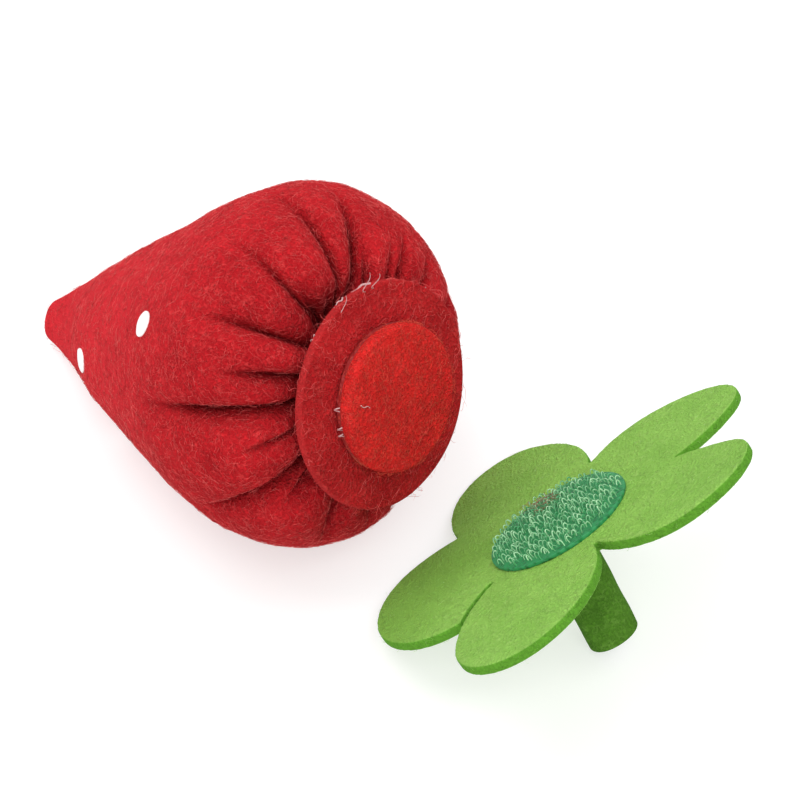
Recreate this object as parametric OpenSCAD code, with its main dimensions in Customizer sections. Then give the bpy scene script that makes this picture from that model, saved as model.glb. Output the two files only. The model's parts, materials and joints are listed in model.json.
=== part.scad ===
// Strawberry pincushion: a gathered felt berry lying on its side, and the leafy cap
// that comes off it. Cap and berry are joined by a round hook-and-loop fastener.
// Frame: +X along the berry from tip to big end, +Z up, floor at z = 0,
// origin on the floor under the flat of the berry's belly. Millimetres.

/* [Berry] */
// Radius of the berry where it is widest
belly_r = 25.5; // [22:0.5:27]
// Radius of the blunt tip
tip_r = 4.5; // [3:0.5:7]
// Distance from the tip to the widest ring, along the berry
belly_s = 51; // [45:1:56]
// Distance from the tip to the face of the loop disc
face_s = 75; // [72:0.5:80]
// How far the cone swells between tip and widest ring
cone_swell = 0.6; // [0:0.1:2]
// Slope of the berry's axis above the floor, degrees
berry_tilt = 19; // [17:0.5:21]
// Height of the axis at the tip above the floor
tip_z = 5.6; // [5:0.1:6.5]
// Thickness of the red felt
felt_t = 1.2; // [0.8:0.1:2]
// Sideways set of the gathered mouth from the berry's axis
mouth_shift = -5; // [-6:0.5:0]
// Turn of the gathered mouth away from the berry's axis, degrees
mouth_turn = 3.5; // [0:0.5:6]

/* [Cover and fastener] */
// Radius of the felt disc that covers the gathers
cover_r = 15; // [13:0.5:17]
// Thickness of the cover disc
cover_t = 1.5; // [1:0.1:2.5]
// Radius of the hook disc and the loop disc
fastener_r = 10; // [8:0.5:12]
// Height of the loop pile
pile_h = 1.5; // [1:0.1:2]
// Height of the hooks
hook_h = 1.3; // [1:0.1:1.6]
// Distance between hooks along and across their rows
hook_pitch = 1.4; // [1.2:0.1:2]

/* [Seeds] */
// Radius of one seed dot
seed_r = 1.9; // [1:0.1:2.5]
// Thickness of one seed dot
seed_t = 0.3; // [0.2:0.1:0.6]

/* [Cap] */
// Distance of a petal's middle from the middle of the cap
petal_mid = 17.6; // [16:0.2:20]
// Half length of a petal
petal_half_len = 12.8; // [11:0.2:14]
// Half width of a petal
petal_half_w = 10.2; // [9:0.2:12]
// Thickness of the green felt
leaf_t = 1.5; // [1:0.1:2.5]
// Slope of the cap as it lies on the floor, degrees
cap_tilt = 39; // [36:0.5:42]
// Turn of the lying cap about the vertical, degrees
cap_turn = 6; // [0:1:12]
// Distance of the lying cap's middle from the origin, along +X
cap_x = 47.6; // [46:0.2:56]
// Radius of the rolled felt stem
stem_r = 3.5; // [2.5:0.25:4.5]
// Lean of the stem off square, degrees
stem_lean = 4; // [0:1:8]

/* [Hidden] */
$fn = 96;

glue_t = 0.4;
backing_t = 0.7;
// Depths below the loop disc's face, in the mouth's frame
backing_top = pile_h;
loop_glue_top = pile_h + backing_t;
cover_top = loop_glue_top + glue_t;
cover_glue_top = cover_top + cover_t;
cover_glue_t = 0.9;
mound_top = cover_glue_top + cover_glue_t;
mound_r = 13.5;
mound_h = 4;
hole_r = 2.5;
thread_r = 0.25;
knot_r = thread_r * 1.3;
gather_r = 4;
tip_x = -45;
tip_len = 1.6;
// The dome ends this far under the turned mouth's plane
dome_drop = 1.2;
dome_top_s = face_s - mound_top - dome_drop;
dome_power = 1.7;
dome_mouth_r = 12;
seam_angle = -20;
seam_outer = felt_t + 0.25;
seam_inner = seam_outer + 2.8;
seam_w = 2.4;
// The strip runs between these shares of the cone's length
seam_start = 0.23;
seam_end = 0.86;
big = 200;
// Seed dots, scattered: distance from the tip, turn from sideways to up
seeds = [[21.5, 162], [45, 137], [48, 210], [45, 65], [44, 352], [22, 30], [20, 228], [33, 325]];
// Each petal: turn off its even place, extra length, extra half width
petals = [[-1, -2.5, 3], [1, 1, -0.4], [4, 0, -1.2], [-1.5, 1, -0.8], [-1, 0, 0.6]];
first_petal = 35.3;
hub_r = 12;
// Heights above the calyx's face, in the cap's frame
hook_glue_t = 0.3;
hook_backing_t = 0.5;
hook_base = hook_glue_t + hook_backing_t;
hook_w = 0.5;
stem_at = [0.6, 0.4];
stem_glue_t = 0.3;
strip_t = 1.05;
strip_gap = 0.12;

// How far the petal at direction a reaches downhill, for half sizes l and w and middle m
function reach(a, m, l, w) = m * cos(a) + sqrt(pow(l * cos(a), 2) + pow(w * sin(a), 2));
function petal_angle(k) = first_petal + 72 * k + petals[k][0];
function petal_len(k) = petal_half_len + petals[k][1] / 2;
function petal_centre(k) = petal_mid + petals[k][1] / 2;
function petal_w(k) = petal_half_w + petals[k][2];
function petal_reach(k) = reach(petal_angle(k), petal_centre(k), petal_len(k), petal_w(k));
// The cap lies on its two lowest petals and on the rim of its stem's end
cap_z = max([for (k = [0:4]) petal_reach(k)]) * sin(cap_tilt) + leaf_t * cos(cap_tilt);
stem_slope = cap_tilt - stem_lean;
stem_drop = cap_z - leaf_t * cos(cap_tilt) - stem_at[0] * sin(cap_tilt);
stem_len = (stem_drop - stem_r * sin(stem_slope)) / cos(stem_slope);

// Outline of the berry from its axis at the tip to its axis at the mouth, taken in by inset
function cone_r(t, inset) = tip_r - inset + (belly_r - tip_r) * t + cone_swell * 4 * t * (1 - t);
function cone_s(t, inset) = inset + tip_len + (belly_s - inset - tip_len) * t;
function dome_r(t, inset) =
    dome_mouth_r + (belly_r - inset - dome_mouth_r) * sqrt(max(0, 1 - pow(t, dome_power)));
function outline(inset) = concat(
    [[0, inset]],
    [for (a = [22.5:22.5:67.5]) [(tip_r - inset) * sin(a), inset + tip_len * (1 - cos(a))]],
    [for (t = [0:0.1:0.95]) [cone_r(t, inset), cone_s(t, inset)]],
    [for (t = [0:0.1:1]) [dome_r(t, inset), belly_s + (dome_top_s - inset - belly_s) * t]],
    [[0, dome_top_s - inset]]);

// The berry's own frame: z along its axis from the tip, y sideways, x downwards
module on_berry() {
    translate([tip_x, 0, tip_z]) rotate([0, 90 - berry_tilt, 0]) children();
}

// The mouth's frame: z outwards, zero at the face of the loop disc
module on_mouth() {
    on_berry() translate([0, mouth_shift, face_s]) rotate([mouth_turn, 0, 0]) children();
}

// The cap's frame: z out of the hook side, zero at the calyx's face, x downhill
module on_cap() {
    translate([cap_x, 0, cap_z]) rotate([0, 0, 180 + cap_turn]) rotate([0, cap_tilt, 0]) children();
}

module disc_below(top, r, t) {
    translate([0, 0, -top - t]) cylinder(r = r, h = t);
}

module above_floor(z) {
    translate([-big / 2, -big / 2, z]) cube(big);
}

// The berry's body taken in by inset, with the flat of its belly at z = inset
module berry_body(inset) {
    intersection() {
        union() {
            on_berry() rotate_extrude() polygon(outline(inset));
            on_mouth() disc_below(mound_top + inset, mound_r - inset, mound_h);
        }
        above_floor(inset);
    }
}

// A flat strip that stands inwards from the cone's side, from one depth to another
module seam_strip(from, to, w) {
    on_berry() rotate([0, 0, 90 + seam_angle]) rotate([90, 0, 0])
        translate([0, 0, -w / 2]) linear_extrude(w) polygon([
            [cone_r(seam_start, from), cone_s(seam_start, felt_t)],
            [cone_r(seam_end, from), cone_s(seam_end, felt_t)],
            [cone_r(seam_end, to), cone_s(seam_end, felt_t)],
            [cone_r(seam_start, to), cone_s(seam_start, felt_t)]]);
}

module mouth_hole() {
    on_mouth() disc_below(mound_top - 1, hole_r, felt_t + 2);
}

module berry_skin() {
    color("firebrick") difference() {
        berry_body(0);
        berry_body(felt_t);
        mouth_hole();
    }
}

module stuffing() {
    color("ivory") difference() {
        berry_body(felt_t);
        seam_strip(-1, seam_inner + thread_r * 2, seam_w);
    }
}

module side_seam() {
    color("firebrick") seam_strip(seam_outer, seam_inner, seam_w);
}

module seam_thread() {
    color("darkred") seam_strip(seam_inner, seam_inner + thread_r * 2, thread_r * 2);
}

module gathering_thread() {
    color("darkred") on_mouth() translate([0, 0, knot_r + 0.02 - mound_top]) {
        rotate_extrude() translate([gather_r, 0]) circle(r = thread_r, $fn = 24);
        translate([gather_r, 0, 0]) sphere(r = knot_r, $fn = 24);
    }
}

module cover_glue() {
    color("ivory") difference() {
        on_mouth() disc_below(cover_glue_top, mound_r - 0.5, cover_glue_t);
        on_mouth() disc_below(cover_glue_top + 0.2, gather_r + 0.8, cover_glue_t);
    }
}

module cover_disc() {
    color("brown") on_mouth() disc_below(cover_top, cover_r, cover_t);
}

module loop_glue() {
    color("ivory") on_mouth() disc_below(loop_glue_top, fastener_r - 1, glue_t);
}

module loop_backing() {
    color("crimson") on_mouth() disc_below(backing_top, fastener_r, backing_t);
}

module loop_pile() {
    color("orangered") on_mouth() disc_below(0, fastener_r - 0.2, pile_h);
}

// One seed dot lying on the cone
module seed(k) {
    s = seeds[k - 1][0];
    a = seeds[k - 1][1];
    run = belly_s - tip_len;
    t = (s - tip_len) / run;
    slope = atan((belly_r - tip_r + cone_swell * 4 * (1 - 2 * t)) / run);
    color("white") on_berry() rotate([0, 0, 90 + a]) translate([cone_r(t, 0), 0, s])
        rotate([0, 90 + slope, 0]) cylinder(r = seed_r, h = seed_t, $fn = 48);
}

module petal(k) {
    l = petal_len(k);
    w = petal_w(k);
    rotate(petal_angle(k)) translate([petal_centre(k), 0])
        polygon([for (a = [0:7.5:352.5]) [l * cos(a), w * sin(a)]]);
}

module calyx() {
    color("yellowgreen") on_cap() translate([0, 0, -leaf_t]) linear_extrude(leaf_t) {
        circle(r = hub_r);
        for (k = [0:4]) petal(k);
    }
}

module hook_glue() {
    color("ivory") on_cap() cylinder(r = fastener_r - 1, h = hook_glue_t);
}

module hook_backing() {
    color("seagreen") on_cap() translate([0, 0, hook_glue_t]) cylinder(r = fastener_r, h = hook_backing_t);
}

// Rows of hooks, every other row set over by half a pitch
module hooks() {
    edge = fastener_r - 0.5;
    n = floor(edge / hook_pitch);
    color("mediumseagreen") on_cap() translate([0, 0, hook_base])
        for (i = [-n:n], j = [-n:n]) {
            x = i * hook_pitch;
            y = (j + (i % 2 == 0 ? 0 : 0.5)) * hook_pitch;
            if (norm([x, y]) < edge)
                translate([x - hook_w / 2, y - hook_w / 2, 0]) cube([hook_w, hook_w, hook_h]);
        }
}

module stem_glue() {
    color("ivory") on_cap() translate([stem_at[0], stem_at[1], -leaf_t - stem_glue_t])
        cylinder(r = stem_r - 0.5, h = stem_glue_t);
}

// The stem is one strip rolled up: its edge follows a spiral out to stem_r
module stem_roll() {
    pitch = strip_t + strip_gap;
    turns = (stem_r - strip_t / 2) / pitch;
    outer = [for (a = [30:15:turns * 360]) (pitch * a / 360 + strip_t / 2) * [cos(a), sin(a)]];
    inner = [for (a = [turns * 360:-15:30]) max(0.05, pitch * a / 360 - strip_t / 2) * [cos(a), sin(a)]];
    polygon(concat(outer, inner));
}

module stem() {
    color("darkolivegreen") on_cap() intersection() {
        translate([stem_at[0], stem_at[1], -leaf_t]) rotate([stem_lean / 2, -stem_lean, 0])
            translate([0, 0, -stem_len]) linear_extrude(stem_len + 2) stem_roll();
        translate([-big / 2, -big / 2, -leaf_t - stem_glue_t - big]) cube(big);
    }
}

berry_skin();
stuffing();
side_seam();
seam_thread();
gathering_thread();
cover_glue();
cover_disc();
loop_glue();
loop_backing();
loop_pile();
seed(1);  // seed_1
seed(2);  // seed_2
seed(3);  // seed_3
seed(4);  // seed_4
seed(5);  // seed_5
seed(6);  // seed_6
seed(7);  // seed_7
seed(8);  // seed_8
calyx();
hook_glue();
hook_backing();
hooks();
stem_glue();
stem();
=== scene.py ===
"""Looks of a felt strawberry pincushion: a gathered berry on its side and the leafy cap beside it."""

import json
import logging
import math
from contextlib import contextmanager
from dataclasses import dataclass, field
from enum import Enum
from typing import Iterator

import bmesh
import bpy
import numpy as np
from mathutils import Matrix, Vector
from mathutils.bvhtree import BVHTree

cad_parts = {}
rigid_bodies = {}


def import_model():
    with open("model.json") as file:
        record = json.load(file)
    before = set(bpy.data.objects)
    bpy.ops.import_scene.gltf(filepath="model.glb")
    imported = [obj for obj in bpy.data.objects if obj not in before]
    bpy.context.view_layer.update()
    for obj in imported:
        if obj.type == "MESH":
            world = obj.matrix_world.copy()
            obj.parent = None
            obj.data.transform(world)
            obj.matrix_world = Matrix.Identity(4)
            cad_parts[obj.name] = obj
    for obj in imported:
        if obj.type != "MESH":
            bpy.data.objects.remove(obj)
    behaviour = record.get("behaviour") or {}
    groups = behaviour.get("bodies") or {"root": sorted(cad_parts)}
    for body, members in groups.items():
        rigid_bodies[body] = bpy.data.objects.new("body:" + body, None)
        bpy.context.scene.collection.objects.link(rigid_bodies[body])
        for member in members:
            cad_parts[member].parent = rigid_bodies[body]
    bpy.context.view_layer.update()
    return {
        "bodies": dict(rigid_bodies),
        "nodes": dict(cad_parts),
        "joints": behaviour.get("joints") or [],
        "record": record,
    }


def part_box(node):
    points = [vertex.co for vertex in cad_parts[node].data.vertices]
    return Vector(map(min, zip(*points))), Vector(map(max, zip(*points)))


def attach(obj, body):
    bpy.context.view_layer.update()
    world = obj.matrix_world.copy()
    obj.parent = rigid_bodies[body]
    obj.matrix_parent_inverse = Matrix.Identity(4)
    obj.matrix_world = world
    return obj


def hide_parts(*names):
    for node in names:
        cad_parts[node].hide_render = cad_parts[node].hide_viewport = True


LOG = logging.getLogger("pincushion")
MM = 0.001
ALL_SMOOTH = 180.0
Rgb = tuple[float, float, float]
Faces = list[tuple[int, ...]]
Finishes = dict[str, bpy.types.Material]
Nodes = dict[str, bpy.types.Object]


class Held(Enum):
    """How a sheet of cloth is held on this object."""

    LAID = "laid"
    FOLDED = "folded"


class Body(Enum):
    """The two halves of the pincushion."""

    BERRY = "berry"
    CAP = "cap"


# --- Places and small tools -------------------------------------------------------------


@dataclass(frozen=True)
class Place:
    """A local frame, in metres: an origin and the directions of its x, y and z."""

    origin: Vector
    x: Vector
    y: Vector
    z: Vector

    def matrix(self) -> Matrix:
        """Returns the matrix from this frame to the row's frame."""
        turn = Matrix((self.x, self.y, self.z)).transposed()
        return Matrix.Translation(self.origin) @ turn.to_4x4()

    def round_point(self, radius: float, turn: float, height: float) -> Vector:
        """Places a point by its radius and height in mm and its turn in radians.

        Args:
            radius: Distance from this frame's z.
            turn: Angle round it, from x to y.
            height: Height along it.

        Returns:
            The point in the row's frame, in metres.
        """
        return self.matrix() @ (Vector((radius * math.cos(turn), radius * math.sin(turn), height)) * MM)


def disc_normal(node: bpy.types.Object, towards: Vector) -> Vector:
    """Finds the normal of a flat node from the spread of its vertices.

    Args:
        node: A CAD node that is a flat disc.
        towards: A direction on the side that the normal points to.

    Returns:
        The unit normal.
    """
    points = vertex_array(node)
    spread = points - points.mean(axis=0)
    normal = Vector(np.linalg.eigh(spread.T @ spread)[1][:, 0])
    return normal if normal.dot(towards) > 0 else -normal


def box_middle(node: str) -> Vector:
    """Returns the middle of a CAD node's box."""
    low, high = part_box(node)
    return (Vector(low) + Vector(high)) / 2


def vertex_array(obj: bpy.types.Object, field_name: str = "co") -> np.ndarray:
    """Reads an object's vertices.

    Args:
        obj: The object.
        field_name: What to read: co for places or normal for normals.

    Returns:
        An array of n by 3.
    """
    flat = np.empty(len(obj.data.vertices) * 3)
    obj.data.vertices.foreach_get(field_name, flat)
    return flat.reshape(-1, 3)


def set_vertices(obj: bpy.types.Object, points: np.ndarray) -> None:
    """Writes an array of n by 3 back to an object's vertices."""
    obj.data.vertices.foreach_set("co", points.ravel())
    obj.data.update()


def store(obj: bpy.types.Object, name: str, values: np.ndarray) -> None:
    """Keeps one number per vertex under a name, for materials and later steps."""
    layer = obj.data.attributes.get(name) or obj.data.attributes.new(name, "FLOAT", "POINT")
    layer.data.foreach_set("value", values.astype(np.float32))


def stored(obj: bpy.types.Object, name: str) -> np.ndarray:
    """Reads the number per vertex that is kept under a name.

    Args:
        obj: The object.
        name: The name that the numbers are kept under.

    Returns:
        One number per vertex.
    """
    values = np.empty(len(obj.data.vertices), dtype=np.float32)
    obj.data.attributes[name].data.foreach_get("value", values)
    return values.astype(float)


def step(low: float, high: float, value: np.ndarray) -> np.ndarray:
    """Returns a smooth rise from 0 at low to 1 at high."""
    share = np.clip((value - low) / (high - low), 0, 1)
    return share * share * (3 - 2 * share)


def pick(*objects: bpy.types.Object) -> None:
    """Selects objects alone, the last one active.

    Args:
        *objects: The objects.
    """
    bpy.ops.object.select_all(action="DESELECT")
    for obj in objects:
        obj.select_set(True)
    bpy.context.view_layer.objects.active = objects[-1]


@contextmanager
def editing(obj: bpy.types.Object) -> Iterator[None]:
    """Opens an object in edit mode, and closes it after.

    Args:
        obj: The object to edit.

    Yields:
        Nothing, while the object is open.
    """
    pick(obj)
    bpy.ops.object.mode_set(mode="EDIT")
    yield
    bpy.ops.object.mode_set(mode="OBJECT")


def fix_modifier(obj: bpy.types.Object, kind: str, **settings: object) -> None:
    """Adds a modifier and applies it at once.

    Args:
        obj: The object to change.
        kind: The modifier's type.
        **settings: The modifier's settings by name.
    """
    pick(obj)
    modifier = obj.modifiers.new(kind.title(), kind)
    for key, value in settings.items():
        setattr(modifier, key, value)
    bpy.ops.object.modifier_apply(modifier=modifier.name)


def subdivide_smooth(obj: bpy.types.Object, levels: int) -> None:
    """Subdivides an object's surface and keeps the result."""
    fix_modifier(obj, "SUBSURF", levels=levels, render_levels=levels)


def named(name: str) -> bpy.types.Object:
    """Names the active object and its mesh.

    Args:
        name: The new name.

    Returns:
        The active object.
    """
    obj = bpy.context.active_object
    obj.name = name
    obj.data.name = name
    return obj


def place(obj: bpy.types.Object, frame: Place) -> None:
    """Moves an object's vertices from a local frame to the row's frame.

    Args:
        obj: The object.
        frame: The local frame, in metres.
    """
    points = vertex_array(obj)
    matrix = np.array(frame.matrix())
    set_vertices(obj, points @ matrix[:3, :3].T + matrix[:3, 3])


def shade(obj: bpy.types.Object, finish: bpy.types.Material, sharp: float) -> None:
    """Smooths an object and gives it its finish.

    Args:
        obj: The object.
        finish: Its material.
        sharp: Edges sharper than this angle in degrees stay sharp.
    """
    pick(obj)
    if sharp >= ALL_SMOOTH:
        bpy.ops.object.shade_smooth()
    else:
        bpy.ops.object.shade_smooth_by_angle(angle=math.radians(sharp))
    obj.data.materials.clear()
    obj.data.materials.append(finish)


def dress(obj: bpy.types.Object, finish: bpy.types.Material, body: Body,
          stands_for: str = "", sharp: float = ALL_SMOOTH) -> None:
    """Gives a piece its finish and body, hides the CAD node that it stands for, and reports it.

    Args:
        obj: The piece.
        finish: Its material.
        body: The half that it moves with.
        stands_for: The CAD node that it replaces, if there is one.
        sharp: Edges sharper than this angle in degrees stay sharp.
    """
    shade(obj, finish, sharp)
    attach(obj, body.value)
    if stands_for:
        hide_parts(stands_for)
    LOG.info("%s: %d faces", obj.name, len(obj.data.polygons))


def dress_hidden(finish: Finishes, nodes: Nodes, **finish_names: str) -> None:
    """Gives CAD nodes that stay as they are, out of sight, their finishes.

    Args:
        finish: Materials by name.
        nodes: The CAD nodes by name.
        **finish_names: The name of each node's finish.
    """
    for node, name in finish_names.items():
        nodes[node].data.materials.clear()
        nodes[node].data.materials.append(finish[name])
        LOG.info("%s: CAD node in %s", node, name)


def face_out(obj: bpy.types.Object) -> None:
    """Merges doubles and turns every face outwards.

    Args:
        obj: The object.
    """
    with editing(obj):
        bpy.ops.mesh.select_all(action="SELECT")
        bpy.ops.mesh.remove_doubles(threshold=1e-6)
        bpy.ops.mesh.normals_make_consistent(inside=False)


def mesh_piece(name: str, points: np.ndarray, faces: Faces) -> bpy.types.Object:
    """Makes an object from vertices and faces that copies have been gathered into.

    Args:
        name: The piece's name.
        points: Its vertices, in metres.
        faces: Its faces.

    Returns:
        The object.
    """
    mesh = bpy.data.meshes.new(name)
    mesh.from_pydata(points.tolist(), [], faces)
    obj = bpy.data.objects.new(name, mesh)
    bpy.context.collection.objects.link(obj)
    return obj


def waves(points: np.ndarray, pitch: float, seed: int, parts: int = 12) -> np.ndarray:
    """Sums sine waves in many directions into a smooth random field.

    Args:
        points: Places as n by 3, in metres.
        pitch: Wave length in metres.
        seed: Picks the directions.
        parts: How many waves are summed.

    Returns:
        One number per place, mostly between -1 and 1.
    """
    rng = np.random.default_rng(seed)
    total = np.zeros(len(points))
    for _ in range(parts):
        way = rng.normal(size=3)
        way *= 2 * math.pi / (pitch * np.linalg.norm(way)) * rng.uniform(0.6, 1.4)
        total += np.sin(points @ way + rng.uniform(0, 2 * math.pi))
    return total / math.sqrt(parts)


# --- Finishes ---------------------------------------------------------------------------


class Graph:
    """A material's node tree, with a short way to add each kind of node."""

    def __init__(self, name: str) -> None:
        """Makes an empty material with a shader and an output."""
        self.material = bpy.data.materials.new(name)
        self.material.use_nodes = True
        self.nodes = self.material.node_tree.nodes
        self.links = self.material.node_tree.links
        self.shader = self.nodes["Principled BSDF"]
        self.place = self.nodes.new("ShaderNodeTexCoord").outputs["Object"]

    def plug(self, value: object, socket: bpy.types.NodeSocket) -> None:
        """Links an output to a socket, or writes a plain value on it.

        Args:
            value: An output or a plain value.
            socket: The input.
        """
        if isinstance(value, bpy.types.NodeSocket):
            self.links.new(value, socket)
        else:
            socket.default_value = value

    def attribute(self, name: str) -> bpy.types.NodeSocket:
        """Reads the number kept per vertex under a name.

        Args:
            name: The name that the numbers are kept under.

        Returns:
            The number.
        """
        node = self.nodes.new("ShaderNodeAttribute")
        node.attribute_name = name
        return node.outputs["Fac"]

    def shifted(self, offset: float, stretch: Rgb = (1, 1, 1)) -> bpy.types.NodeSocket:
        """Moves and stretches object coordinates.

        Args:
            offset: How far they are moved, in metres.
            stretch: The scale along x, y and z.

        Returns:
            The coordinates.
        """
        node = self.nodes.new("ShaderNodeMapping")
        node.inputs["Location"].default_value = (offset, offset * 0.7, -offset)
        node.inputs["Scale"].default_value = stretch
        self.links.new(self.place, node.inputs["Vector"])
        return node.outputs["Vector"]

    def noise(self, pitch: float, detail: float = 2, offset: float = 0, stretch: Rgb = (1, 1, 1),
              twist: float = 0) -> bpy.types.NodeSocket:
        """Makes noise between 0 and 1.

        Args:
            pitch: How far apart its features are, in metres.
            detail: How many finer layers it has.
            offset: Moves it, so that two noises differ.
            stretch: The scale along x, y and z.
            twist: How much it is distorted.

        Returns:
            The noise.
        """
        node = self.nodes.new("ShaderNodeTexNoise")
        node.inputs["Scale"].default_value = 1 / pitch
        node.inputs["Detail"].default_value = detail
        node.inputs["Distortion"].default_value = twist
        self.links.new(self.shifted(offset, stretch), node.inputs["Vector"])
        return node.outputs["Fac"]

    def math(self, kind: str, a: object, b: object = 0.0) -> bpy.types.NodeSocket:
        """Adds a math node.

        Args:
            kind: Its operation.
            a: Its first value.
            b: Its second value.

        Returns:
            The result.
        """
        node = self.nodes.new("ShaderNodeMath")
        node.operation = kind
        self.plug(a, node.inputs[0])
        self.plug(b, node.inputs[1])
        return node.outputs[0]

    def rise(self, value: object, low: float, high: float) -> bpy.types.NodeSocket:
        """Maps a value to run smoothly from 0 to 1.

        Args:
            value: The value.
            low: Where the result is 0.
            high: Where the result is 1.

        Returns:
            The result.
        """
        node = self.nodes.new("ShaderNodeMapRange")
        node.interpolation_type = "SMOOTHSTEP"
        self.plug(value, node.inputs["Value"])
        node.inputs["From Min"].default_value = low
        node.inputs["From Max"].default_value = high
        return node.outputs["Result"]

    def blend(self, share: object, a: object, b: object) -> bpy.types.NodeSocket:
        """Mixes two colours.

        Args:
            share: How much of b there is, from 0 to 1.
            a: The first colour.
            b: The second colour.

        Returns:
            The mixed colour.
        """
        node = self.nodes.new("ShaderNodeMix")
        node.data_type = "RGBA"
        self.plug(share, node.inputs["Factor"])
        self.plug((*a, 1) if isinstance(a, tuple) else a, node.inputs["A"])
        self.plug((*b, 1) if isinstance(b, tuple) else b, node.inputs["B"])
        return node.outputs["Result"]

    def strands(self, pitch: float, width: float, offset: float) -> bpy.types.NodeSocket:
        """Draws thin winding lines where a noise crosses its middle.

        Args:
            pitch: How far apart the lines are, in metres.
            width: How far from the middle a line reaches.
            offset: Moves the lines.

        Returns:
            1 on a line and 0 off it.
        """
        from_middle = self.math("SUBTRACT", self.noise(pitch, 1.0, offset, twist=0.6), 0.5)
        return self.rise(self.math("ABSOLUTE", from_middle), width, 0.0)

    def bump(self, height: bpy.types.NodeSocket, depth: float) -> None:
        """Adds relief to the shader.

        Args:
            height: How high each place is, from 0 to 1.
            depth: The relief's full height, in metres.
        """
        node = self.nodes.new("ShaderNodeBump")
        node.inputs["Distance"].default_value = depth
        self.links.new(height, node.inputs["Height"])
        self.links.new(node.outputs["Normal"], self.shader.inputs["Normal"])


@dataclass(frozen=True)
class Felt:
    """Craft felt: matted fibres, a mottled ground and lighter strands lying on it."""

    name: str
    ground: Rgb
    shade: Rgb
    strand: Rgb
    pitch: float = 0.0016
    relief: float = 0.00022
    # rim colour: a painted highlight along the cover disc's rim, and painted shade on the leaf's side walls
    edge: Rgb | None = None
    # colour blended in towards the berry's tip (a lighter red) and on the leaf's petal beside the berry
    # (painted shade)
    tip_fade_and_shade: Rgb | None = None
    # painted shade: a dark colour drawn into the creases of the berry's folds
    crease_shade_colour: Rgb | None = None
    strand_share: float = 0.5
    strand_sizes: tuple[float, ...] = (0.7, 1.0, 1.45)
    strand_width: float = 0.042
    mottle_pitch: float = 0.006
    grain_pitch: float = 0.0004
    patch_pitch: float = 0.0011

    def make(self) -> bpy.types.Material:
        """Builds the material.

        Returns:
            The felt's material.
        """
        g = Graph(self.name)
        mottle = g.rise(g.noise(self.mottle_pitch, detail=3, offset=0.31), 0.3, 0.7)
        grain = g.rise(g.noise(self.grain_pitch, detail=3, offset=0.12), 0.32, 0.68)
        lines = [g.strands(self.pitch * size, self.strand_width, 0.2 + size) for size in self.strand_sizes]
        net = g.math("MAXIMUM", g.math("MAXIMUM", lines[0], lines[1]), lines[2])
        patches = g.noise(self.patch_pitch, detail=1, offset=0.77)
        patchy = g.math("MULTIPLY", net, g.rise(patches, 0.3, 0.75))
        base = g.blend(g.math("ADD", g.math("MULTIPLY", mottle, 0.45), g.math("MULTIPLY", grain, 0.5)),
                       self.shade, self.ground)
        colour = g.blend(g.math("MULTIPLY", patchy, self.strand_share), base, self.strand)
        # the berry's tip drawn lighter, and painted shade on the leaf's petal beside the berry
        if self.tip_fade_and_shade:
            colour = g.blend(g.attribute("tip_fade_and_shade"), colour, self.tip_fade_and_shade)
        # painted shade: the creases are drawn darker, where shade falls in them
        if self.crease_shade_colour:
            colour = g.blend(g.attribute("crease_shade"), colour, self.crease_shade_colour)
        # painted highlight on the cover's rim, and painted shade on the leaf's side walls
        if self.edge:
            colour = g.blend(g.attribute("edge_highlight_and_shade"), colour, self.edge)
        g.plug(colour, g.shader.inputs["Base Color"])
        height = g.math("ADD", g.math("MULTIPLY", patchy, 0.6), g.math("MULTIPLY", grain, 1.0))
        g.bump(height, self.relief)
        g.shader.inputs["Roughness"].default_value = 0.95
        g.shader.inputs["Specular IOR Level"].default_value = 0.04
        g.shader.inputs["Sheen Weight"].default_value = 0.05
        g.shader.inputs["Sheen Roughness"].default_value = 0.6
        g.shader.inputs["Sheen Tint"].default_value = (*self.strand, 1)
        return g.material


@dataclass(frozen=True)
class Fibre:
    """Loose fibres, each a tone of its own."""

    name: str
    dark: Rgb
    light: Rgb
    gloss: float = 0.75
    glow: float = 0.0
    shine: float = 0.1

    def make(self) -> bpy.types.Material:
        """Builds the material.

        Returns:
            The fibre's material.
        """
        g = Graph(self.name)
        g.plug(g.blend(g.attribute("tone"), self.dark, self.light), g.shader.inputs["Base Color"])
        g.shader.inputs["Roughness"].default_value = self.gloss
        g.shader.inputs["Specular IOR Level"].default_value = self.shine
        g.shader.inputs["Transmission Weight"].default_value = self.glow
        return g.material


@dataclass(frozen=True)
class Weave:
    """Woven tape: fine ribs across and along."""

    name: str
    ground: Rgb
    shade: Rgb
    pitch: float = 0.0007

    def make(self) -> bpy.types.Material:
        """Builds the material.

        Returns:
            The tape's material.
        """
        g = Graph(self.name)
        cell = g.nodes.new("ShaderNodeTexVoronoi")
        cell.inputs["Scale"].default_value = 1 / self.pitch
        g.links.new(g.shifted(0.1), cell.inputs["Vector"])
        tuft = g.rise(cell.outputs["Distance"], 0.1, 0.6)
        worn = g.noise(0.003, 2, 0.4)
        g.plug(g.blend(g.math("MULTIPLY", g.math("ADD", tuft, worn), 0.6), self.ground, self.shade),
               g.shader.inputs["Base Color"])
        g.bump(g.math("SUBTRACT", 1.0, tuft), 0.00015)
        g.shader.inputs["Roughness"].default_value = 0.6
        return g.material


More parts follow.
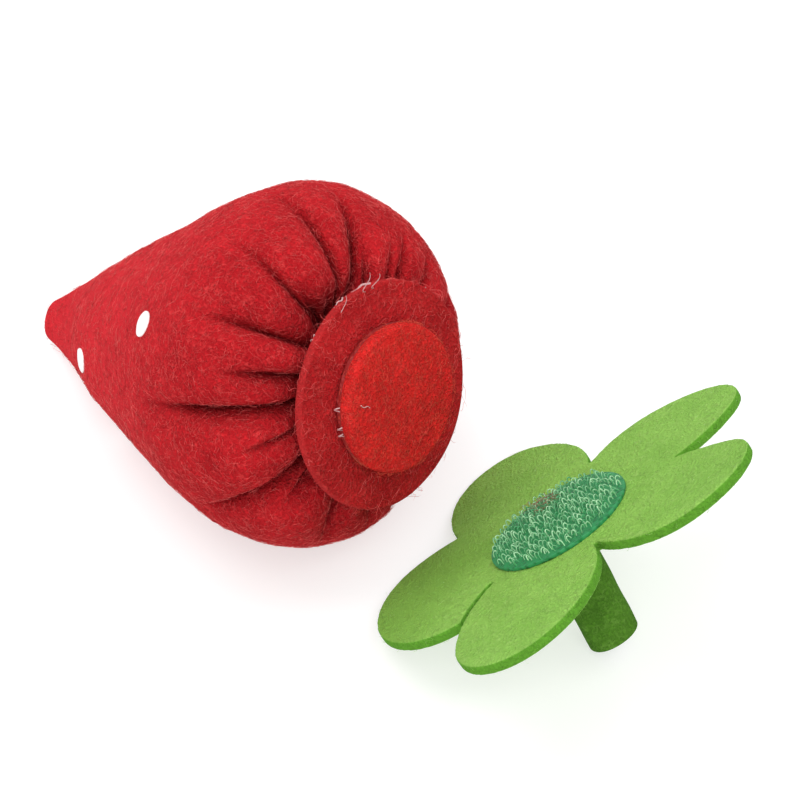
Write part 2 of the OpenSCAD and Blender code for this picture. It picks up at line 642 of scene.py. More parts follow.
@dataclass(frozen=True)
class Clear:
    """Set hot glue: milky, glossy and part clear."""

    name: str
    tint: Rgb
    clear: float = 0.35

    def make(self) -> bpy.types.Material:
        """Builds the material.

        Returns:
            The glue's material.
        """
        g = Graph(self.name)
        milk = g.blend(g.rise(g.noise(0.0012, 2, 0.5), 0.35, 0.7), self.tint,
                       tuple(min(1.0, c * 1.12) for c in self.tint))
        g.plug(milk, g.shader.inputs["Base Color"])
        g.bump(g.noise(0.0008, 2, 0.9), 0.0001)
        g.shader.inputs["Roughness"].default_value = 0.22
        g.shader.inputs["Transmission Weight"].default_value = self.clear
        g.shader.inputs["Coat Weight"].default_value = 0.3
        return g.material


@dataclass(frozen=True)
class Paint:
    """A thick matt dot of paint with a faint grain."""

    name: str
    tint: Rgb

    def make(self) -> bpy.types.Material:
        """Builds the material.

        Returns:
            The paint's material.
        """
        g = Graph(self.name)
        grain = g.noise(0.0005, 3, 0.2)
        dull = tuple(c * 0.93 for c in self.tint)
        g.plug(g.blend(grain, dull, self.tint), g.shader.inputs["Base Color"])
        g.bump(grain, 0.00006)
        g.shader.inputs["Roughness"].default_value = 0.7
        return g.material


RED_FELT = Felt("red_felt", ground=(0.60, 0.018, 0.024), shade=(0.33, 0.007, 0.011),
                # a lighter red that the felt is drawn in towards the tip
                strand=(0.88, 0.075, 0.075), pitch=0.0012, tip_fade_and_shade=(0.86, 0.036, 0.05),
                # a dark red for the painted shade in the creases
                crease_shade_colour=(0.10, 0.003, 0.006))
COVER_FELT = Felt("dark_red_felt", ground=(0.58, 0.021, 0.024), shade=(0.33, 0.009, 0.012),
                  # its edge colour is a painted highlight along the rim
                  strand=(0.68, 0.07, 0.065), pitch=0.0012, edge=(0.50, 0.035, 0.036))
PILE_FELT = Felt("loop_pile", ground=(0.93, 0.032, 0.028), shade=(0.60, 0.016, 0.017),
                 strand=(0.97, 0.11, 0.09), pitch=0.0007, relief=0.0003)
LEAF_FELT = Felt("green_felt", ground=(0.31, 0.60, 0.115), shade=(0.23, 0.49, 0.08),
                 # its edge colour is painted shade, a darker green on the side walls
                 strand=(0.40, 0.68, 0.17), pitch=0.0011, relief=0.0002, edge=(0.115, 0.33, 0.03),
                 # a darker green for the painted shade on the petal beside the berry
                 tip_fade_and_shade=(0.21, 0.44, 0.065))
STEM_FELT = Felt("stem_felt", ground=(0.088, 0.225, 0.023), shade=(0.05, 0.135, 0.014),
                 strand=(0.16, 0.33, 0.055), pitch=0.0014, relief=0.00015)
FILL = Felt("fibrefill", ground=(0.88, 0.87, 0.84), shade=(0.75, 0.74, 0.70), strand=(0.95, 0.95, 0.93),
            relief=0.0006)
RED_FIBRE = Fibre("red_fibre", dark=(0.50, 0.02, 0.026), light=(0.95, 0.165, 0.155))
PILE_FIBRE = Fibre("pile_fibre", dark=(0.52, 0.02, 0.014), light=(0.85, 0.13, 0.08))
LINT = Fibre("lint", dark=(0.20, 0.05, 0.03), light=(0.42, 0.16, 0.12))
GREEN_FIBRE = Fibre("green_fibre", dark=(0.22, 0.48, 0.07), light=(0.42, 0.68, 0.20))
HOOK_NYLON = Fibre("hook_nylon", dark=(0.085, 0.46, 0.175), light=(0.56, 0.95, 0.57), gloss=0.15, glow=0.3,
                   shine=0.5)
HOOK_TAPE = Weave("hook_tape", ground=(0.007, 0.14, 0.042), shade=(0.02, 0.27, 0.085))
LOOP_TAPE = Weave("loop_tape", ground=(0.38, 0.014, 0.012), shade=(0.25, 0.01, 0.01))
GLUE = Clear("hot_glue", tint=(0.85, 0.58, 0.58), clear=0.55)
SEED_WHITE = Paint("seed_white", tint=(0.93, 0.90, 0.90))
THREAD = Weave("thread", ground=(0.28, 0.012, 0.015), shade=(0.16, 0.008, 0.01), pitch=0.0003)


# --- Fibres -----------------------------------------------------------------------------


@dataclass
class Tufts:
    """Many loose fibres that lie on a surface, each a copy of one modelled fibre. In metres."""

    name: str
    count: int
    length: float
    thickness: float
    lift: float
    curl: float
    seed: int
    joints: int = 6  # pieces that a fibre bends in
    grounded: bool = True  # stays above the floor

    def one(self) -> tuple[np.ndarray, Faces]:
        """Models one straight fibre of length 1 along z.

        Returns:
            Its vertices and faces.
        """
        bpy.ops.object.select_all(action="DESELECT")
        bpy.ops.mesh.primitive_cylinder_add(vertices=3, radius=0.5, depth=1, location=(0, 0, 0.5))
        rod = bpy.context.active_object
        bpy.ops.object.transform_apply(location=True, rotation=True, scale=True)
        ring = vertex_array(rod)
        low = ring[ring[:, 2] < 0.5]
        bpy.data.objects.remove(rod)
        rings = [low + [0, 0, k / self.joints] for k in range(self.joints + 1)]
        faces = []
        for k in range(self.joints):
            for i in range(3):
                j = (i + 1) % 3
                faces.append((3 * k + i, 3 * k + j, 3 * k + 3 + j, 3 * k + 3 + i))
        faces += [(2, 1, 0), tuple(3 * self.joints + i for i in range(3))]
        return np.vstack(rings), faces

    def scatter(self, places: np.ndarray, normals: np.ndarray) -> bpy.types.Object:
        """Lays one fibre at each place, winding over the surface.

        Args:
            places: Where each fibre starts, n by 3.
            normals: The surface's normal there.

        Returns:
            All the fibres as one object.
        """
        rng = np.random.default_rng(self.seed)
        rod, faces = self.one()
        n = len(places)
        along = np.cross(normals, rng.normal(size=(n, 3)))
        along /= np.linalg.norm(along, axis=1, keepdims=True)
        across = np.cross(normals, along)
        length = self.length * rng.uniform(0.5, 1.4, n)
        bend = self.curl * rng.normal(size=(n, 1))
        wave = self.curl * 0.4 * rng.normal(size=(n, 1))
        rise = self.lift * rng.uniform(0.3, 1.3, (n, 1))
        z = rod[None, :, 2]
        angle = bend * z + wave * np.sin(2 * math.pi * z)
        run = length[:, None] * z * np.cos(angle * 0.5)
        side = length[:, None] * z * np.sin(angle)
        high = rise * np.sin(math.pi * np.clip(z, 0, 1)) + self.thickness * 0.3
        thin = self.thickness * (1 - 0.6 * np.abs(2 * z - 1) ** 3)
        points = (places[:, None] + along[:, None] * run[..., None] + across[:, None] * side[..., None]
                  + normals[:, None] * high[..., None]
                  + across[:, None] * (rod[None, :, 0] * thin)[..., None]
                  + normals[:, None] * (rod[None, :, 1] * thin)[..., None])
        count = len(rod)
        every = [tuple(i + k * count for i in f) for k in range(n) for f in faces]
        points = points.reshape(-1, 3)
        if self.grounded:
            points[:, 2] = np.maximum(points[:, 2], 0)
        obj = mesh_piece(self.name, points, every)
        store(obj, "tone", np.repeat(rng.uniform(0, 1, n), count))
        return obj

    def over(self, surface: bpy.types.Object, keep: np.ndarray | None = None) -> bpy.types.Object:
        """Scatters the fibres over an object's faces.

        Args:
            surface: The object that they lie on.
            keep: A weight per vertex, or none for an even spread.

        Returns:
            The fibres.
        """
        rng = np.random.default_rng(self.seed + 100)
        points = vertex_array(surface)
        normals = vertex_array(surface, "normal")
        surface.data.calc_loop_triangles()
        tri = np.empty(len(surface.data.loop_triangles) * 3, dtype=np.int32)
        surface.data.loop_triangles.foreach_get("vertices", tri)
        tri = tri.reshape(-1, 3)
        first, second, third = points[tri].transpose(1, 0, 2)
        area = np.linalg.norm(np.cross(second - first, third - first), axis=1)
        if keep is not None:
            area = area * keep[tri].mean(axis=1)
        chosen = tri[rng.choice(len(tri), self.count, p=area / area.sum())]
        share = rng.dirichlet((1, 1, 1), self.count)[..., None]
        spot = (points[chosen] * share).sum(axis=1)
        facing = (normals[chosen] * share).sum(axis=1)
        facing /= np.linalg.norm(facing, axis=1, keepdims=True)
        return self.scatter(spot, facing)


# --- The berry --------------------------------------------------------------------------


@dataclass(frozen=True)
class Fold:
    """A crease from the gathered mouth down the berry's side. Angles in degrees, lengths in mm."""

    angle: float  # where it leaves the mouth
    drift: float  # how far it turns on its way
    reach: float  # how far down the side it runs
    depth: float
    width: float
    lean: int = 1  # the side that its gentler lip is on

    def spread(self, run: np.ndarray, turn: np.ndarray,
               radius: np.ndarray) -> tuple[np.ndarray, np.ndarray, np.ndarray]:
        """Works out how each vertex lies to the fold.

        Args:
            run: Each vertex's distance from the mouth's rim, in mm.
            turn: Its turn round the berry, in degrees.
            radius: Its distance from the berry's axis, in mm.

        Returns:
            Its distance across the fold, and the fold's strength and width there.
        """
        share = np.clip(run / self.reach, -0.6, 1)
        out = np.clip(share, 0, 1)
        off = (turn - self.angle - self.drift * out ** 0.8 + 180) % 360 - 180
        fade = (1 - step(0.4, 1.0, share)) * (1.15 - 0.35 * out)
        return np.radians(off) * radius, fade, self.width * (1 + 0.9 * out)


# Angles run from sideways (0) over the top (90) to the other side (180), and below 0 underneath
FOLDS = (
    Fold(154, 10, 36, 4.0, 0.8), Fold(136, 10, 18, 2.2, 0.6), Fold(119, 14, 26, 2.2, 0.9, -1),
    Fold(105, 0, 27, 1.7, 0.7), Fold(97, 4, 12, 2.7, 1.0), Fold(87, 1, 8, 3.2, 1.0),
    Fold(77, 4, 28, 3.0, 0.65), Fold(73, -15, 25, 3.2, 0.6), Fold(60, 1, 14, 2.2, 0.5),
    Fold(50, -3, 15, 1.6, 0.5),
    Fold(41, -3, 16, 2.2, 0.55), Fold(31, -1, 11, 1.6, 0.5), Fold(21, 2, 17, 2.0, 0.6),
    Fold(2, -2, 18, 2.0, 0.7), Fold(-18, 3, 14, 1.8, 0.6), Fold(-38, -5, 20, 2.6, 0.8),
    Fold(-60, 2, 16, 2.2, 0.7), Fold(-84, -4, 19, 2.4, 0.8), Fold(-108, 5, 14, 2.2, 0.7),
    Fold(-137, 15, 17, 2.6, 0.8), Fold(-153, -2, 12, 2.2, 0.6), Fold(-160, -5, 23, 2.2, 0.6, -1),
    Fold(188, 13, 31, 3.6, 0.75), Fold(171, 2, 14, 1.6, 0.5),
)


# Radii in mm of the rings that close the mouth
LID_RINGS = (10, 8, 6, 4, 2, 0.5)


@dataclass
class BerrySkin:
    """The stuffed red felt cone, gathered at its big end. Lengths in mm, angles in degrees."""

    tip_r: float = 3.2
    tip_s: float = -2.3  # the tip's place along the axis
    tip_len: float = 0.35  # how far the tip's end is domed
    belly_r: float = 26.1
    belly_s: float = 51.0
    dome_s: float = 69.6  # the mouth's place along the axis
    mouth_r: float = 11.5
    swell: float = 0.1  # how far the cone's side bows out
    around: int = 160
    puff: float = 1.15  # how far the felt swells between two folds
    puff_gap: float = 4.5  # the distance from a fold where it is full
    # how dark the painted shade in the creases is drawn
    crease_shade_strength: float = 0.85
    flat: float = 0.943  # height as a share of width
    mouth_shift: tuple[float, float] = (-5.5, 0.3)  # sideways and up
    tip_shift: tuple[float, float] = (1.6, -1.05)  # sideways and up
    mouth_turn: float = 3.5
    tip_press: float = 0.55  # how far the tip is pressed thin
    tip_turn: float = -35.0  # the way that it is thin in
    press_end: float = 22.0
    floor_soft: float = 0.7  # how softly the belly meets the floor

    def outline(self) -> np.ndarray:
        """Works out the berry's outline as it is before gathering.

        Returns:
            Radius and distance from the tip, from the tip's middle to the mouth's middle.
        """
        tip = [(self.tip_r * math.sin(a), self.tip_s - self.tip_len * math.cos(a))
               for a in np.radians([4, 30, 60])]
        cone = [(self.tip_r + (self.belly_r - self.tip_r) * t + self.swell * 4 * t * (1 - t),
                 self.tip_s + (self.belly_s - self.tip_s) * t) for t in np.linspace(0, 1, 26)]
        dome = [(self.mouth_r + (self.belly_r - self.mouth_r) * math.sqrt(1 - t ** 1.8),
                 self.belly_s + (self.dome_s - self.belly_s) * t)
                for t in 1 - (1 - np.linspace(0.06, 1, 18)) ** 1.7]
        lid = [(r, self.dome_s + 0.2) for r in LID_RINGS]
        line = np.array(tip + cone + dome + lid)
        ends = 8  # rings at either end that stay as they are
        for _ in range(3):
            middle = line[ends:-ends].copy()
            line[ends:-ends] = (line[ends - 1:-ends - 1] + 2 * middle + line[ends + 1:1 - ends]) / 4
        return line

    def revolve(self, name: str) -> bpy.types.Object:
        """Draws out the berry ring by ring from its tip.

        Args:
            name: The piece's name.

        Returns:
            The smooth berry, in its own frame in metres.
        """
        line = self.outline() * MM
        bpy.ops.object.select_all(action="DESELECT")
        bpy.ops.mesh.primitive_circle_add(vertices=self.around, radius=line[0][0],
                                          location=(0, 0, line[0][1]))
        obj = named(name)
        bpy.ops.object.transform_apply(location=True, rotation=True, scale=True)
        with editing(obj):
            bpy.ops.mesh.select_all(action="SELECT")
            for (r0, z0), (r1, z1) in zip(line[:-1], line[1:]):
                bpy.ops.mesh.extrude_region_move(TRANSFORM_OT_translate={"value": (0, 0, z1 - z0)})
                bpy.ops.transform.resize(value=(r1 / r0, r1 / r0, 1), center_override=(0, 0, z1))
        return obj

    def close(self, obj: bpy.types.Object) -> None:
        """Closes the small holes at the tip and at the mouth's middle.

        Args:
            obj: The berry in its own frame.
        """
        with editing(obj):
            bpy.ops.mesh.select_all(action="SELECT")
            bpy.ops.mesh.fill_holes(sides=0)
        face_out(obj)

    def chart(self, obj: bpy.types.Object) -> None:
        """Keeps each vertex's run from the mouth's rim, in mm, and its turn round the axis.

        Args:
            obj: The berry in its own frame, before its folds.
        """
        line = self.outline()
        legs = np.linalg.norm(np.diff(line, axis=0), axis=1)
        back = np.concatenate([[0], np.cumsum(legs[::-1])])[::-1]
        rim = back[-len(LID_RINGS)]
        points = vertex_array(obj) / MM
        radius = np.hypot(points[:, 0], points[:, 1])
        away = np.hypot(line[:, 0] - radius[:, None], line[:, 1] - points[:, 2, None])
        store(obj, "run", back[away.argmin(axis=1)] - rim)
        store(obj, "turn_c", points[:, 1] / np.maximum(radius, 1e-6))
        store(obj, "turn_s", -points[:, 0] / np.maximum(radius, 1e-6))

    def gather(self, obj: bpy.types.Object) -> None:
        """Presses the folds into the big end, puffs up the felt between them, and keeps how dark painted
        shade is drawn in each crease.

        Args:
            obj: The charted berry in its own frame.
        """
        points = vertex_array(obj) / MM
        normals = vertex_array(obj, "normal")
        radius = np.hypot(points[:, 0], points[:, 1])
        run = stored(obj, "run")
        turn_c, turn_s = stored(obj, "turn_c"), stored(obj, "turn_s")
        turn = np.degrees(np.arctan2(turn_s, turn_c))
        around = np.stack([-turn_c, -turn_s, np.zeros(len(run))], axis=1)
        sink, pinch, crease_shade = np.zeros((3, len(run)))
        bulge = np.full(len(run), np.inf)
        for fold in FOLDS:
            gap, fade, width = fold.spread(run, turn, radius)
            lip = np.where(gap * fold.lean > 0, 1.5, 0.55) * width
            sharp = np.exp(-np.abs(gap) / lip)
            broad = np.exp(-(gap / (3.0 * width)) ** 2)
            sink += fold.depth * fade * (1.1 * sharp + 0.35 * broad)
            crease_shade += fold.depth * fade * np.exp(-np.abs(gap) / (0.7 * lip))
            pinch -= gap * fade * 0.45 * np.exp(-(gap / (2.6 * width)) ** 2)
            bulge = np.minimum(bulge, np.abs(gap) + (1 - fade) * 6)
        puff = np.clip(bulge / self.puff_gap, 0, 1) ** 0.6 * (1 - step(12, 27, run)) * step(-4, 6, run)
        points += normals * (self.puff * puff - sink * step(-9, -2, run))[:, None] + around * pinch[:, None]
        points += normals * (0.10 * waves(points * MM, 0.009, 5) * step(-4, 4, run))[:, None]
        set_vertices(obj, points * MM)
        # painted shade: each crease is drawn darker the deeper its fold
        store(obj, "crease_shade", self.crease_shade_strength * np.clip(crease_shade / 3.2, 0, 1) * step(-3, 2, run))

    def slump(self, obj: bpy.types.Object, frame: Place) -> None:
        """Bends the berry as it lies: mouth and tip set over, tip pressed, belly on the floor.

        Args:
            obj: The berry in its own frame.
            frame: The berry's place in the row.
        """
        p = vertex_array(obj) / MM
        late = np.clip((p[:, 2] - self.belly_s) / (self.dome_s - self.belly_s), 0, 1) ** 1.5
        early = np.clip(1 - p[:, 2] / self.belly_s, 0, 1) ** 2
        turn = math.radians(self.tip_turn)
        thin = np.array([-math.sin(turn), math.cos(turn)])
        tip_fade_and_shade = self.tip_press * (1 - step(self.tip_s, self.press_end, p[:, 2]))
        p[:, :2] -= (p[:, :2] @ thin * tip_fade_and_shade)[:, None] * thin
        p[:, 0] *= self.flat
        lean = math.tan(math.radians(self.mouth_turn))
        p[:, 2] += late * lean * p[:, 1]
        p[:, 1] += late * self.mouth_shift[0] + early * self.tip_shift[0]
        p[:, 0] -= late * self.mouth_shift[1] + early * self.tip_shift[1]
        set_vertices(obj, p * MM)
        place(obj, frame)
        p = vertex_array(obj)
        p[:, 2] = (p[:, 2] + np.hypot(p[:, 2], self.floor_soft * MM)) / 2
        set_vertices(obj, p)

    def build(self, frame: Place) -> bpy.types.Object:
        """Makes the whole skin in the row's frame.

        Args:
            frame: The berry's place in the row.

        Returns:
            The finished skin.
        """
        obj = self.revolve("berry_felt")
        self.chart(obj)
        subdivide_smooth(obj, 2)
        self.close(obj)
        self.gather(obj)
        self.slump(obj, frame)
        return obj


@dataclass
class FeltDisc:
    """A round of felt or tape, cut out with soft edges. Lengths in mm."""

    name: str
    radius: float
    thickness: float
    crown: float  # how far its middle stands above its rim
    waver: float  # how far its rim wavers
    edge: float  # width of its softened edge
    seed: int
    around: int = 160

    def build(self, frame: Place, top: float) -> bpy.types.Object:
        """Makes the disc with its top at a height in a frame.

        Args:
            frame: The frame that it lies in.
            top: Height of the middle of its top, in mm.

        Returns:
            The disc, in the row's frame.
        """
        bpy.ops.object.select_all(action="DESELECT")
        bpy.ops.mesh.primitive_circle_add(vertices=self.around, radius=self.radius * MM,
                                          fill_type="NGON")
        obj = named(self.name)
        with editing(obj):
            bpy.ops.mesh.select_all(action="SELECT")
            bpy.ops.mesh.extrude_region_move(
                TRANSFORM_OT_translate={"value": (0, 0, self.thickness * MM)})
        face_out(obj)
        with editing(obj):
            bpy.ops.mesh.select_mode(type="EDGE")
            bpy.ops.mesh.select_all(action="DESELECT")
            shape = bmesh.from_edit_mesh(obj.data)
            for line in shape.edges:
                line.select_set(abs(line.verts[0].co.z - line.verts[1].co.z) < 1e-7)
            bmesh.update_edit_mesh(obj.data)
            bpy.ops.mesh.bevel(offset=self.edge * MM, segments=3, affect="EDGES")
        self.ring(obj)
        p = vertex_array(obj) / MM
        radius = np.hypot(p[:, 0], p[:, 1])
        turn = np.arctan2(p[:, 1], p[:, 0])
        rng = np.random.default_rng(self.seed)
        ripple = sum(rng.normal() / lobes * np.sin(lobes * turn + rng.uniform(0, 6.3))
                     for lobes in range(2, 9))
        share = radius / self.radius
        p[:, :2] *= (1 + self.waver * 0.03 * ripple * share ** 2)[:, None]
        p[:, 2] += top - self.thickness - self.crown * share ** 2 + self.waver * ripple * share ** 3
        # marks the rim, where the cover's painted highlight is drawn
        store(obj, "edge_highlight_and_shade", 0.45 * step(0.975, 1.0, share))
        store(obj, "reach", share)
        set_vertices(obj, p * MM)
        place(obj, frame)
        return obj

    def ring(self, obj: bpy.types.Object) -> None:
        """Sets rings into the disc's two flat faces, so that it can crown.

        Args:
            obj: The flat disc.
        """
        for side in (1, -1):
            with editing(obj):
                bpy.ops.mesh.select_mode(type="FACE")
                bpy.ops.mesh.select_all(action="DESELECT")
                shape = bmesh.from_edit_mesh(obj.data)
                flats = [face for face in shape.faces if face.normal.z * side > 0.9]
                big = max(flats, key=lambda face: face.calc_area())
                big.select_set(True)
                bmesh.update_edit_mesh(obj.data)
                bpy.ops.mesh.inset(thickness=self.radius * 0.02 * MM)
                for _ in range(9):
                    bpy.ops.mesh.inset(thickness=self.radius * 0.095 * MM)
                bpy.ops.mesh.poke()


def strand(name: str, points: list[Vector], radius: float, taper: float = 1.0) -> bpy.types.Object:
    """Draws a thin string through points and makes it a mesh.

    Args:
        name: The piece's name.
        points: Where it runs, in metres.
        radius: Half its thickness, in metres.
        taper: Thickness at its end as a share of that at its start.

    Returns:
        The string as a mesh.
    """
    bpy.ops.object.select_all(action="DESELECT")
    bpy.ops.curve.primitive_nurbs_path_add()
    obj = bpy.context.active_object
    spline = obj.data.splines[0]
    spline.points.add(max(0, len(points) - len(spline.points)))
    for i, point in enumerate(spline.points):
        near = points[min(i, len(points) - 1)]
        point.co = (*near, 1)
        point.radius = 1 + (taper - 1) * i / (len(spline.points) - 1)
    obj.data.bevel_depth = radius
    obj.data.bevel_resolution = 1
    obj.data.resolution_u = 3
    obj.data.use_fill_caps = True
    obj.data.dimensions = "3D"
    bpy.ops.object.convert(target="MESH")
    return named(name)


def join(name: str, objects: list[bpy.types.Object]) -> bpy.types.Object:
    """Joins objects into one piece.

    Args:
        name: The piece's name.
        objects: What it is joined from.

    Returns:
        The piece.
    """
    pick(*objects)
    bpy.ops.object.join()
    return named(name)


@dataclass
class Berry:
    """The berry half: skin, stuffing, seeds, cover disc and loop disc. Lengths in mm."""

    tilt: float = 19.0  # slope of its axis, in degrees
    tip: tuple[float, float, float] = (-45.0, 0.0, 5.6)
    cover_r: float = 15.0
    coin_r: float = 10.0
    seed_r: float = 1.78
    seed_t: float = 0.34
    seed_count: int = 8
    seed_nudge: tuple[float, float, float] = (0.1, -0.5, -0.5)  # from the CAD dots
    mouth_nudge: tuple[float, float, float] = (0.1, 0.5, 0.0)  # from the CAD discs
    tip_lightening: float = 0.62  # how much lighter the felt is drawn towards the tip
    skin: BerrySkin = field(default_factory=BerrySkin)

    def axis_frame(self) -> Place:
        """Works out the berry's own frame.

        Returns:
            The frame: z along its axis, y sideways, x downwards.
        """
        slope = math.radians(self.tilt)
        along = Vector((math.cos(slope), 0, math.sin(slope)))
        down = Vector((math.sin(slope), 0, -math.cos(slope)))
        return Place(Vector(self.tip) * MM, down, Vector((0, 1, 0)), along)

    def mouth_frame(self, nodes: Nodes) -> Place:
        """Works out the frame of the loop disc's face from the CAD discs.

        Args:
            nodes: The CAD nodes by name.

        Returns:
            The frame: z outwards, y up the disc.
        """
        out = disc_normal(nodes["cover_disc"], Vector((1, 0, 0)))
        reach = box_middle("loop_pile") - box_middle("loop_backing")
        face = box_middle("loop_pile") + out * (reach.length - 0.35 * MM)
        up = (Vector((0, 0, 1)) - out * out.z).normalized()
        return Place(face + Vector(self.mouth_nudge) * MM, up.cross(out), up, out)

    def add_skin(self, finish: Finishes) -> bpy.types.Object:
        """Builds the skin with its fuzz.

        Args:
            finish: Materials by name.

        Returns:
            The skin.
        """
        skin = self.skin.build(self.axis_frame())
        points = vertex_array(skin)
        from_tip = points[:, 0] / MM - self.tip[0]
        # the felt is drawn lighter towards the tip, fading out between 24 and 56 mm from it
        store(skin, "tip_fade_and_shade", self.tip_lightening * (1 - step(24, 56, from_tip)))
        dress(skin, finish["red_felt"], Body.BERRY, "berry_skin")
        clear_of_floor = points[:, 2] >= 1.0 * MM
        spread = np.where(clear_of_floor, 0.3 + 0.7 * step(8, 24, from_tip), 0)
        for name, length, curl, seed in (("berry_fuzz", 1.5, 1.7, 11), ("berry_curls", 1.0, 3.0, 15)):
            tufts = Tufts(name, count=8000, length=length * MM, thickness=0.04 * MM, lift=0.1 * MM, curl=curl,
                          seed=seed, joints=4)
            dress(tufts.over(skin, spread), finish["red_fibre"], Body.BERRY)
        return skin

    def add_stuffing(self, finish: Finishes) -> None:
        """Packs a lumpy wad of fibre inside the skin.

        Args:
            finish: Materials by name.
        """
        wad = BerrySkin(tip_r=2.6, tip_len=1.2, belly_r=20.5, belly_s=44, dome_s=60, mouth_r=4, around=64)
        obj = wad.revolve("stuffing_wad")
        subdivide_smooth(obj, 1)
        wad.close(obj)
        p = vertex_array(obj)
        p[:, 2] += 2 * MM
        p *= (1 + 0.02 * waves(p, 0.008, 9))[:, None]
        set_vertices(obj, p)
        wad.slump(obj, self.axis_frame())
        p = vertex_array(obj)
        p[:, 2] = np.maximum(p[:, 2], 1.4 * MM)
        set_vertices(obj, p)
        dress(obj, finish["fibrefill"], Body.BERRY, "stuffing")

    def add_seeds(self, finish: Finishes, skin: bpy.types.Object) -> None:
        """Lays each seed dot on the felt where its CAD dot is.

        Args:
            finish: Materials by name.
            skin: The skin that they lie on.
        """
        skin.data.calc_loop_triangles()
        points = [tuple(p) for p in vertex_array(skin)]
        tree = BVHTree.FromPolygons(points, [tuple(t.vertices) for t in skin.data.loop_triangles])
        level = Place(Vector(), Vector((1, 0, 0)), Vector((0, 1, 0)), Vector((0, 0, 1)))
        for k in range(1, self.seed_count + 1):
            node = f"seed_{k}"
            spot, normal, _, _ = tree.find_nearest(box_middle(node) + Vector(self.seed_nudge) * MM)
            along = normal.cross(Vector((0.2, 0.3, 1))).normalized()
            matrix = Place(spot, along, normal.cross(along), normal).matrix()
            dot = FeltDisc(f"seed_dot_{k}", self.seed_r, self.seed_t, crown=0.03, waver=0.03, edge=0.12,
                           seed=20 + k, around=48)
            obj = dot.build(level, 0.24)
            for vertex in obj.data.vertices:
                flat = matrix @ Vector((vertex.co.x, vertex.co.y, 0))
                hit, _, _, _ = tree.ray_cast(flat + normal * 3 * MM, -normal, 6 * MM)
                vertex.co = (hit or flat) + normal * vertex.co.z
                vertex.co.z = max(vertex.co.z, 0)
            dress(obj, finish["seed_white"], Body.BERRY, node)

    def add_cover(self, finish: Finishes, mouth: Place) -> None:
        """Adds the felt cover disc with its fuzz.

        Args:
            finish: Materials by name.
            mouth: The frame of the loop disc's face.
        """
        disc = FeltDisc("cover_felt", self.cover_r + 0.15, 1.25, crown=0.9, waver=0.16, edge=0.3,
                        seed=4).build(mouth, -2.45)
        dress(disc, finish["dark_red_felt"], Body.BERRY, "cover_disc")
        tufts = Tufts("cover_fuzz", count=1100, length=1.6 * MM, thickness=0.05 * MM, lift=0.15 * MM,
                      curl=1.0, seed=12)
        dress(tufts.over(disc), finish["red_fibre"], Body.BERRY)

    def add_loops(self, finish: Finishes, mouth: Place) -> None:
        """Adds the loop disc: woven ground, brushed pile and stray fibres.

        Args:
            finish: Materials by name.
            mouth: The frame of the loop disc's face.
        """
        ground = FeltDisc("loop_ground", self.coin_r - 0.2, 0.9, crown=0.05, waver=0.03, edge=0.15,
                          seed=6).build(mouth, -1.6)
        dress(ground, finish["loop_tape"], Body.BERRY, "loop_backing")
        pile = FeltDisc("loop_nap", self.coin_r - 0.15, 1.9, crown=0.3, waver=0.05, edge=0.6,
                        seed=7).build(mouth, 0.0)
        dress(pile, finish["loop_pile"], Body.BERRY, "loop_pile")
        nap = Tufts("loop_curls", count=1500, length=1.1 * MM, thickness=0.045 * MM, lift=0.25 * MM, curl=2.0,
                    seed=13).over(pile)
        middle = (stored(pile, "reach") < 0.55).astype(float)
        stray = Tufts("loop_strays", count=22, length=5.0 * MM, thickness=0.045 * MM, lift=0.5 * MM, curl=2.6,
                      seed=14, joints=20).over(pile, middle)
        for piece in (nap, stray):
            dress(piece, finish["pile_fibre"], Body.BERRY)

    def add_squeeze(self, finish: Finishes, mouth: Place) -> None:
        """Adds the glue that was squeezed out at the cover's rim, and its strings.

        Args:
            finish: Materials by name.
            mouth: The frame of the loop disc's face.
        """
        rng = np.random.default_rng(8)
        pieces = []
        for start, end, size in ((78, 90, 0.2), (96, 103, 0.13), (120, 124, 0.1), (36, 42, 0.12)):
            points = [mouth.round_point(15.1 + rng.uniform(-0.2, 0.4), a, -4.2 + rng.uniform(-0.3, 0.3))
                      for a in np.radians(np.linspace(start, end, 7))]
            pieces.append(strand("bead", points, size * MM, 0.4))
        for a, length in ((78, 1.6), (84, 2.2), (101, 1.3)):
            turn = math.radians(a)
            points = [mouth.round_point(14.6 + t * length, turn + 0.08 * math.sin(5 * t),
                                        -3.4 + 0.9 * math.sin(3 * t)) for t in np.linspace(0, 1, 6)]
            pieces.append(strand("string", points, 0.06 * MM, 0.5))
        dress(join("cover_squeeze", pieces), finish["hot_glue"], Body.BERRY)

    def add_flecks(self, finish: Finishes, mouth: Place) -> None:
        """Adds the bits of glue beside the loop disc, and a string that lies on it.

        Args:
            finish: Materials by name.
            mouth: The frame of the loop disc's face.
        """
        pieces = []
        for a, r in ((157, 10.3), (172, 10.1), (177, 10.2)):
            turn = math.radians(a)
            points = [mouth.round_point(r + 0.5 * math.sin(4 * t), turn + 0.06 * t,
                                        -1.9 + 0.5 * math.cos(5 * t)) for t in np.linspace(0, 1, 5)]
            pieces.append(strand("bit", points, 0.1 * MM, 0.5))
        lying = [Vector((-7.3 + 1.3 * t, 3.4 - 1.2 * t - 0.3 * math.sin(6 * t), 0.12)) * MM
                 for t in np.linspace(0, 1, 6)]
        points = [mouth.matrix() @ spot for spot in lying]
        pieces.append(strand("string", points, 0.07 * MM, 0.7))
        dress(join("loop_flecks", pieces), finish["hot_glue"], Body.BERRY)

